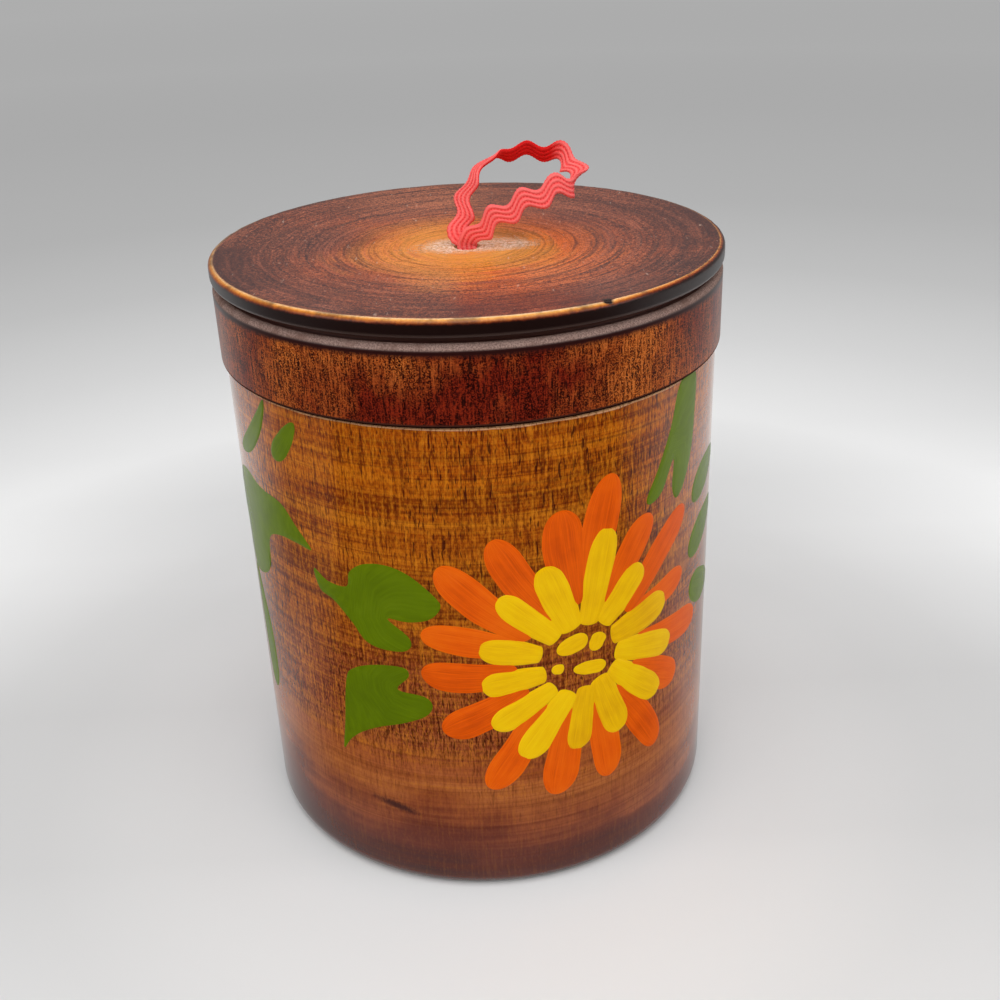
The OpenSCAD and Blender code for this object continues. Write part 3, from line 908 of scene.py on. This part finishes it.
def lidGloss(material, wood):  # the lacquer is dull on the shoulder, around the pull and where it is held
    zone = wood["zone"]
    held = spread(material, wood["backwards"], -22 * mm, -44 * mm, 0.0, 0.7)
    matte = times(material, spread(material, zone, 5.9, 6.0), spread(material, zone, 6.9, 6.7))
    for dull in (
            spread(material, zone, 7.98, 8.02), spread(material, wood["radius"], 30 * mm, 14 * mm, 0.0, 0.8),
            times(material, held, spread(material, zone, 6.9, 7.0))):
        matte = sums(material, "MAXIMUM", matte, dull)
    return spread(material, matte, 0.0, 1.0, 0.88, 0.04)


def lidFinish():
    material, shader = newFinish("darkLacquer", {
        "Roughness": 0.6, "Specular IOR Level": 0.0,
        "Coat Weight": 1.0, "Coat Roughness": 0.34, "Coat IOR": 1.45,
    })
    wood = lidWood(material)
    zone = wood["zone"]
    edge = nudged(material, nudged(material, zone, wood["cloud"], 0.35), wood["fleck"], 0.35)
    shoulder = mixColours(material, spread(material, wood["grit"], 0.34, 0.66), *lid["shoulderTones"])
    chipped = spread(material, wood["chips"], 0.5, 0.34, 0.0, 0.6)
    shoulder = mixColours(material, chipped, shoulder, lid["shoulderChips"])
    bare = mixColours(material, wood["fibre"], *lid["bareTones"])
    colour = lidTop(material, wood)
    colour = mixColours(material, spread(material, edge, 1.3, 1.6), colour, lidRim(material, wood, edge))
    colour = mixColours(material, spread(material, edge, 2.9, 3.1), colour, lid["blackTone"])
    # zone where a finish begins and where it is full, its strength and its colour
    for start, full, strength, tone in (
            (4.0, 4.3, 0.7, lid["discUnderSheen"]), (4.9, 5.0, 1.0, lid["grooveTone"]),
            (5.97, 6.05, 1.0, shoulder), (6.72, 6.9, 1.0, lid["underShoulderShade"]),
            (7.0, 7.001, 1.0, lidSkirt(material, wood)), (8.0, 8.03, 1.0, lid["hemTone"]),
            # black on the hem: painted shade of the seam between the skirt and the body
            (8.07, 8.12, 1.0, lid["blackTone"]), (8.9, 9.05, 1.0, bare)):
        colour = mixColours(material, spread(material, zone, start, full, 0.0, strength), colour, tone)
    nick = distance(material, wood["flat"], (lid["nick"][0] * mm, lid["nick"][1] * mm, 0))
    nick = times(material, spread(material, nick, 1.3 * mm, 0.7 * mm), spread(material, zone, 5.0, 4.8))
    colour = mixColours(material, nick, colour, lid["nickTone"])
    plug(material, colour, shader.inputs["Base Color"])
    plug(material, lidGloss(material, wood), shader.inputs["Coat Weight"])
    turning = times(material, wood["fineRings"], spread(material, zone, 1.5, 1.0))
    upright = times(material, wood["fibre"], spread(material, zone, 6.9, 7.0))
    setBump(material, shader, sums(material, "ADD", turning, upright), 0.05 * mm)
    return material


def makeLid():
    piece = turnOnLathe("turnedLid", lidProfile(), closed=True)
    wearRim(piece)
    seatPiece(piece, lidFinish(), "lid", "lid_wood", "canister_lid")
    print("lid turned,", len(piece.data.polygons), "faces")


makeLid()


# Paint: brush strokes on the front of the body, in mm along the wall from the front and in height
flower = {
    "middle": (20.2, 59.3),
    # angle of the tip, reach of the tip, width, angle of the inner end, bow to the left of the stroke
    "orange": [
        (80, 41.7, 8.4, 76, 1.2), (97, 35.8, 9, 95, 0.5), (121, 35.9, 7.7, 117, 0.9),
        (140, 38.5, 8, 144, 1.0), (165, 34.9, 7, 160, -0.5), (181, 34.2, 7.4, 183, 0.9),
        (207, 33.9, 7.8, 203, 0.7), (236, 37, 7.8, 228, 0.6), (260, 35.2, 8.4, 257, 0.3),
        (282, 34.8, 7.4, 286, 0.6), (304, 38.7, 7.6, 306, 0.7), (329, 33.6, 8, 329, 0),
        (351, 39, 7.6, 354, 0), (17, 32.1, 6.4, 28, -0.6), (40, 39.8, 7.2, 34, 0.9),
        (58, 33.8, 7.4, 59, 0.9),
    ],
    "yellow": [
        (78, 30, 7.4, 76, 0), (49, 23.5, 7.4, 53, 0), (14, 24.4, 7.8, 22, 0),
        (346, 26.8, 7.2, 354, 0), (321, 28.1, 7.4, 328, 0), (294, 24.8, 7.4, 304, 0),
        (267, 23.7, 6.6, 279, 0), (240, 26.6, 7.4, 252, 0), (216, 24.3, 6.4, 224, 0),
        (190, 22, 6.4, 195, 0), (165, 22.6, 6.4, 163, 0), (135, 24.7, 6.6, 132, 0),
        (109, 24.8, 7.8, 104, 0),
    ],
    "orangeStart": 13,
    "yellowStart": 8,
    "bowWander": 0.4,
    "startWander": 0.12,  # share of the start by which a stroke begins nearer or farther
    "startOval": 0.06,  # share by which strokes to the sides begin farther from the middle
    # share of the width at the start, share of the length that rounds the start, and where a stroke is widest
    "orangeShape": (0.62, 0.10, 0.68),
    "yellowShape": (0.60, 0.05, 0.70),
    "dabShape": (1.0, 0.5, 0.62),
    # both ends and width of each dab in the flower's middle
    "dabs": [
        ((-5.5, 2.7), (1.6, 4.6), 4.4), ((2.8, 0.8), (4.9, 4.8), 3.8),
        ((-6.7, -1.4), (-3.9, -1.8), 2.5), ((-1.8, -2.6), (6.1, -3.7), 3.4),
    ],
    "orangeLift": 0.10 * mm,
    "yellowLift": 0.20 * mm,
    "dabSeed": 40,
    # weight of the lacquer over the paint, and the paint's dark, middle and light tones
    "orangePaint": (0.42, (0.55, 0.055, 0.001), (0.82, 0.108, 0.001), (0.93, 0.18, 0.004)),
    "yellowPaint": (0.36, (0.74, 0.34, 0.001), (0.92, 0.53, 0.001), (1.0, 0.68, 0.004)),
}
leaves = {
    # closed outlines, point by point
    "outlines": [
        [(-38.3, 83.1), (-42.7, 87.5), (-47.3, 91.2), (-56, 91.8), (-64, 93), (-72, 90),
         (-76, 83), (-72, 72.8), (-67.4, 67), (-60.4, 68.4), (-55.8, 72.5), (-54.2, 80.1), (-49.1, 82.8),
         (-42.5, 83.2)],
        [(-38.2, 78.9), (-37, 74.2), (-33.4, 72.6), (-29, 68.3), (-26.3, 64.7), (-22.8, 63.4),
         (-17.7, 63.5), (-15.7, 65.2), (-16.4, 67.6), (-20.5, 71.1), (-16.1, 70.9),
         (-11.6, 71.9), (-9.1, 74.5), (-9.6, 77), (-14.8, 81.9), (-20, 83.8), (-25.2, 83.1), (-28.6, 80.5),
         (-29.6, 76.9), (-34.6, 76.9)],
        [(-35.2, 33.6), (-33, 36.6), (-29.6, 39.8), (-24.7, 42.7), (-18.6, 45.1), (-13.7, 47.6),
         (-12, 50.4), (-13.7, 52.7), (-19.6, 53.7), (-16.8, 57.4), (-18, 59.5), (-24.5, 58.9),
         (-30.2, 56.4), (-32.4, 52.8), (-34, 41.3)],
        [(47.5, 113.9), (44.3, 105), (40.2, 97), (37, 91.6), (38.2, 89.9), (41.9, 91.6), (45.6, 97.6),
         (45.4, 91), (47.2, 87.9), (50.4, 90.4), (53.4, 97.4), (54.4, 106), (54.2, 113.9)],
    ],
    # start, end, width, bow to the left of the stroke
    "strokes": [
        ((-39.2, 111.3), (-47.6, 101.4), 4.7, 0.2), ((-48.8, 113.8), (-65, 97.7), 4.3, 2.0),
        ((-69, 67.5), (-64.5, 35.3), 8, 1.6), ((74.3, 88.5), (54.6, 84.6), 8.4, -1.2),
        ((74.3, 76), (53.8, 71.2), 8.8, -1.0), ((74.3, 54.9), (55.3, 62.2), 8.6, 0.6),
    ],
    "strokeShape": (0.3, 0.10, 0.62),
    "spanSteps": 4,
    "cuts": 5,
    "lift": 0.10 * mm,
    "outlineSeed": 80,
    "strokeSeed": 60,
    "greenPaint": (0.5, (0.085, 0.134, 0.001), (0.116, 0.180, 0.001), (0.153, 0.23, 0.004)),
}
brush = {
    "lengthwise": 30,
    "crosswise": 12,
    "sink": 0.45 * mm,
    "bluntness": 2.4,
    "ragged": 0.10,  # share of the width by which an edge wanders
    "domeEnds": (0.05, 0.03),  # shares of the length over which the paint thins at both ends
    "heightStep": 0.12,  # share of the lift between neighbouring strokes
    "nearest": 0.05,  # closest that two points of an outline may lie, in mm
    "smoothAngle": 50,
}


def onWall(across, height, out):  # a place on the body's wall, in mm along it and up it, lifted by out
    turn = across * mm / bodyRadius
    return Vector(((bodyRadius + out) * math.sin(turn), -(bodyRadius + out) * math.cos(turn), height * mm))


def strokeWidth(t, start, rounding, full):  # share of the full width: grows from the start, blunt at the tip
    if t > full:
        return math.sqrt(max(0.0, 1 - ((t - full) / (1 - full)) ** brush["bluntness"]))
    grown = start + (1 - start) * math.sin(math.pi / 2 * t / full)
    return grown * math.sqrt(max(0.0, 1 - (1 - min(t / rounding, 1)) ** 2))


def paintStroke(start, end, wide, bow, shape, lift, seed):
    clearSelection()
    bpy.ops.mesh.primitive_grid_add(
        x_subdivisions=brush["lengthwise"], y_subdivisions=brush["crosswise"], size=1, calc_uvs=True)
    stroke = bpy.context.object
    first, last = Vector(start), Vector(end)
    way = last - first
    left = Vector((-way.y, way.x)).normalized()
    rise, fall = brush["domeEnds"]
    for vertex in stroke.data.vertices:
        t = (1 - math.cos(math.pi * (vertex.co.x + 0.5))) / 2
        side = vertex.co.y * 2
        ragged = 1 + brush["ragged"] * noise.noise(Vector((t * 3, math.copysign(4, side), seed * 7.3)))
        offset = side * wide / 2 * strokeWidth(t, *shape) * ragged + bow * 4 * t * (1 - t)
        spot = first + way * t + left * offset
        dome = (1 - abs(side) ** 6) * min(1, t / rise, (1 - t) / fall)
        ridge = 0.75 + 0.35 * abs(side) ** 3 + 0.22 * noise.noise(Vector((t * 2.5, side * 5, seed * 3.1)))
        vertex.co = onWall(spot.x, spot.y, lift * dome * ridge)
    return thickenPaint(stroke, seed)


def thickenPaint(stroke, seed):  # one tint for the whole stroke, and a body that reaches into the wall
    tint = stroke.data.attributes.new("tint", "FLOAT", "POINT")
    shade = 0.5 + 0.5 * noise.noise(Vector((seed * 5.7, 1.3, 2.9)))
    tint.data.foreach_set("value", [shade] * len(tint.data))
    thick = stroke.modifiers.new("thick", "SOLIDIFY")
    thick.thickness = brush["sink"]
    thick.offset = -1
    bpy.ops.object.modifier_apply(modifier=thick.name)
    return stroke


def paintShape(outline, lift, seed):  # a leaf filled in one go, from its outline on the wall
    corners = [Vector(p) for p in outline]
    count = len(corners)
    points = []
    for k in range(count):
        span = [corners[(k + i) % count] for i in (-1, 0, 1, 2)]
        points += [onSpan(*span, j / leaves["spanSteps"]) for j in range(leaves["spanSteps"])]
    points = [p for p, before in zip(points, points[-1:] + points) if (p - before).length > brush["nearest"]]
    clearSelection()
    bpy.ops.mesh.primitive_circle_add(vertices=len(points), radius=1, fill_type="NGON", calc_uvs=True)
    leaf = bpy.context.object
    for vertex, point in zip(leaf.data.vertices, points):
        vertex.co = (point.x, point.y, 0)
    facesIn = leaf.data.polygons[0].normal.z < 0
    bpy.ops.object.mode_set(mode="EDIT")
    bpy.ops.mesh.select_all(action="SELECT")
    if facesIn:
        bpy.ops.mesh.flip_normals()
    bpy.ops.mesh.quads_convert_to_tris(quad_method="BEAUTY", ngon_method="BEAUTY")
    bpy.ops.mesh.subdivide(number_cuts=leaves["cuts"])
    bpy.ops.mesh.region_to_loop()
    bpy.ops.object.mode_set(mode="OBJECT")
    for vertex in leaf.data.vertices:
        uneven = 1 + 0.3 * noise.noise(Vector((vertex.co.x * 0.25, vertex.co.y * 0.25, seed * 3.1)))
        vertex.co = onWall(vertex.co.x, vertex.co.y, 0.0 if vertex.select else lift * uneven)
    return thickenPaint(leaf, seed)


def joinStrokes(name, strokes):
    clearSelection()
    for stroke in strokes:
        stroke.select_set(True)
    bpy.context.view_layer.objects.active = strokes[0]
    bpy.ops.object.join()
    piece = bpy.context.object
    piece.name = name
    bpy.ops.object.shade_smooth_by_angle(angle=math.radians(brush["smoothAngle"]))
    return piece


def paintFinish(name, lacquer, dark, middle, light):
    material, shader = newFinish(name, {
        "Roughness": 0.6, "Specular IOR Level": 0.0,
        "Coat Weight": lacquer, "Coat Roughness": 0.18, "Coat IOR": 1.45,
    })
    place = addNode(material, "UVMap", {}, uv_map="UVMap").outputs[0]
    tint = attributeOf(material, "tint")
    hairs = stretchedNoise(material, place, (2.5, 24, 1), 4.0, 0.6)
    smear = stretchedNoise(material, objectPlace(material), (150, 150, 150), 3.0)
    tone = sums(material, "ADD", times(material, hairs, 0.5), times(material, smear, 0.25))
    tone = sums(material, "ADD", tone, times(material, tint, 0.25))
    colour = colourRamp(material, tone, [(0.3, dark), (0.5, middle), (0.72, light)])
    plug(material, colour, shader.inputs["Base Color"])
    setBump(material, shader, hairs, 0.09 * mm)
    return material


def fromMiddle(angle, reach):
    turn = math.radians(angle)
    return (flower["middle"][0] + reach * math.cos(turn), flower["middle"][1] + reach * math.sin(turn))


def stacked(lift, number):  # neighbouring strokes lie at three heights
    return lift * (1 + brush["heightStep"] * (number % 3))


def petals(row, start, shape, lift):
    strokes = []
    for number, (angle, reach, wide, inner, lean) in enumerate(row):
        bow = lean + flower["bowWander"] * noise.noise(Vector((number * 3.7, reach, 0.5)))
        begin = start * (1 + flower["startWander"] * noise.noise(Vector((number * 2.3, 0.7, reach))))
        begin *= 1 + flower["startOval"] * math.cos(2 * math.radians(inner))
        ends = fromMiddle(inner, begin), fromMiddle(angle, reach)
        strokes.append(paintStroke(*ends, wide, bow, shape, stacked(lift, number), number + lift / mm))
    return strokes


def paintFlower():
    orange = petals(flower["orange"], flower["orangeStart"], flower["orangeShape"], flower["orangeLift"])
    yellow = petals(flower["yellow"], flower["yellowStart"], flower["yellowShape"], flower["yellowLift"])
    dabs = []
    for number, (start, end, wide) in enumerate(flower["dabs"]):
        ends = [Vector(flower["middle"]) + Vector(p) for p in (start, end)]
        seed = flower["dabSeed"] + number
        dabs.append(paintStroke(*ends, wide, 0.0, flower["dabShape"], flower["orangeLift"], seed))
    yellowPaint = paintFinish("yellowPaint", *flower["yellowPaint"])
    orangePaint = paintFinish("orangePaint", *flower["orangePaint"])
    seatPiece(joinStrokes("orangePetals", orange), orangePaint, "canister", None)
    seatPiece(joinStrokes("yellowPetals", yellow), yellowPaint, "canister", None)
    seatPiece(joinStrokes("flowerDabs", dabs), yellowPaint, "canister", None)


def paintLeaves():
    shapes = []
    for number, outline in enumerate(leaves["outlines"]):
        shapes.append(paintShape(outline, leaves["lift"], leaves["outlineSeed"] + number))
    for number, (start, end, wide, bow) in enumerate(leaves["strokes"]):
        lift = stacked(leaves["lift"], number)
        seed = leaves["strokeSeed"] + number
        shapes.append(paintStroke(start, end, wide, bow, leaves["strokeShape"], lift, seed))
    greenPaint = paintFinish("greenPaint", *leaves["greenPaint"])
    seatPiece(joinStrokes("greenLeaves", shapes), greenPaint, "canister", None)


paintFlower()
paintLeaves()
print("flower and leaves painted")


# Floor, light and backdrop
studio = {
    "floorSize": 14.0,
    # distance from the middle over one metre, grey of the floor there: painted light and shade, pale around
    # the foot, a painted shadow ring beyond it, then a paler band and darker far off
    "floorLightAndShade": [
        (0.0, 0.86), (0.060, 0.86), (0.076, 0.80), (0.09, 0.765), (0.115, 0.69), (0.14, 0.665), (0.18, 0.70),
        (0.235, 0.79), (0.33, 0.66), (0.46, 0.52), (0.62, 0.45), (1.0, 0.42),
    ],
    # share of the way from the front to the back, and what the floor's grey is multiplied by there, as
    # painted light and shade
    "floorDepth": (-0.09, 0.20),
    "floorDepthShading": [
        (0.0, 1.07), (0.1, 0.99), (0.17, 0.93), (0.38, 0.955), (0.48, 1.06), (0.62, 1.17), (0.69, 1.17),
        (0.83, 1.05), (1.0, 1.0),
    ],
    # distance over the glow's reach, and how much paler the backdrop looks there
    "glowReach": 2.4,
    "backdropGlow": [
        (0.0, 0.0), (0.055, 0.03), (0.10, 0.16), (0.14, 0.14), (0.25, 0.155), (0.33, 0.18), (0.6, 0.26),
        (1.0, 0.29),
    ],
    "floorShine": 0.02,  # how the floor in front of the canister shows in the lacquer
    "skyLight": 0.30,
    "skyShine": (0.05, 1.0),  # how the room's front and back show in the lacquer
    "skyHeights": [(0.0, 0.31), (0.52, 0.31), (0.70, 0.26), (1.0, 0.22)],
    "skySeen": 0.42,
    "lampAim": (0, 0, 0.1),
    # name, power, size and place
    "lamps": [
        ("frontLamp", 4.8, 0.8, (0.0, -0.42, 0.85)), ("backLamp", 1.8, 1.0, (0.0, 0.40, 0.95)),
        ("leftLamp", 1.2, 0.5, (-0.60, -0.35, 0.40)), ("rightLamp", 1.2, 0.5, (0.60, -0.35, 0.40)),
    ],
}


def layFloor():
    clearSelection()
    bpy.ops.mesh.primitive_plane_add(size=studio["floorSize"])
    floor = bpy.context.object
    floor.name = "paleFloor"
    material, shader = newFinish("palePaper", {"Roughness": 0.8, "Specular IOR Level": 0.0})
    parts = addNode(material, "SeparateXYZ", {0: objectPlace(material)}).outputs
    radius = distance(material, addNode(material, "CombineXYZ", {0: parts[0], 1: parts[1]}).outputs[0])
    # the floor's grey holds painted light and shade, by distance and by depth
    pale = greyRamp(material, radius, studio["floorLightAndShade"])
    depth = greyRamp(material, spread(material, parts[1], *studio["floorDepth"]), studio["floorDepthShading"])
    pale = mixColours(material, 1.0, pale, depth, "MULTIPLY")
    ahead = sums(material, "DIVIDE", parts[1], radius)
    front = times(material, spread(material, ahead, 0.0, -0.5), spread(material, radius, 0.056, 0.085))
    leftwards = times(material, spread(material, ahead, 0.45, 0.0), spread(material, radius, 0.11, 0.19))
    leftwards = times(material, leftwards, spread(material, parts[0], 0.0, -0.08, 0.0, 0.8))
    front = sums(material, "MAXIMUM", front, leftwards)
    rays = addNode(material, "LightPath", {}).outputs
    dim = (studio["floorShine"],) * 3
    colour = mixColours(material, times(material, front, rays["Is Glossy Ray"]), pale, dim)
    plug(material, colour, shader.inputs["Base Color"])
    away = sums(material, "DIVIDE", radius, studio["glowReach"])
    plug(material, greyRamp(material, away, studio["backdropGlow"]), shader.inputs["Emission Color"])
    seen = times(material, rays["Is Glossy Ray"], sums(material, "SUBTRACT", 1.0, front))
    seen = times(material, seen, spread(material, radius, 0.13, 0.23, 0.6, 2.0))
    for kind in ("Is Camera Ray", "Is Transmission Ray"):
        seen = sums(material, "MAXIMUM", seen, rays[kind])
    plug(material, seen, shader.inputs["Emission Strength"])
    floor.data.materials.append(material)


def hangLamps():
    for name, power, size, place in studio["lamps"]:
        bpy.ops.object.light_add(type="AREA", location=place)
        lamp = bpy.context.object
        lamp.name = name
        lamp.data.size = size
        lamp.data.energy = power
        lamp.rotation_euler = (Vector(studio["lampAim"]) - lamp.location).to_track_quat("-Z", "Y").to_euler()


def lightRoom():
    world = bpy.data.worlds.new("paleRoom")
    world.use_nodes = True
    direction = addNode(world, "TexCoord", {}).outputs["Generated"]
    ways = addNode(world, "SeparateXYZ", {0: direction}).outputs
    rays = addNode(world, "LightPath", {}).outputs
    shine = greyRamp(world, ways[2], studio["skyHeights"])
    shine = times(world, shine, spread(world, ways[1], -0.5, 0.3, *studio["skyShine"]))
    light = addNode(world, "Mix", {0: rays["Is Glossy Ray"], 2: studio["skyLight"], 3: shine}).outputs[0]
    light = addNode(world, "Mix", {0: rays["Is Camera Ray"], 2: light, 3: studio["skySeen"]}).outputs[0]
    background = world.node_tree.nodes["Background"]
    background.inputs[0].default_value = (1.0, 1.0, 1.0, 1.0)
    plug(world, light, background.inputs[1])
    bpy.context.scene.world = world
    bpy.context.scene.view_settings.view_transform = "Standard"


layFloor()
hangLamps()
lightRoom()
print("studio lit")
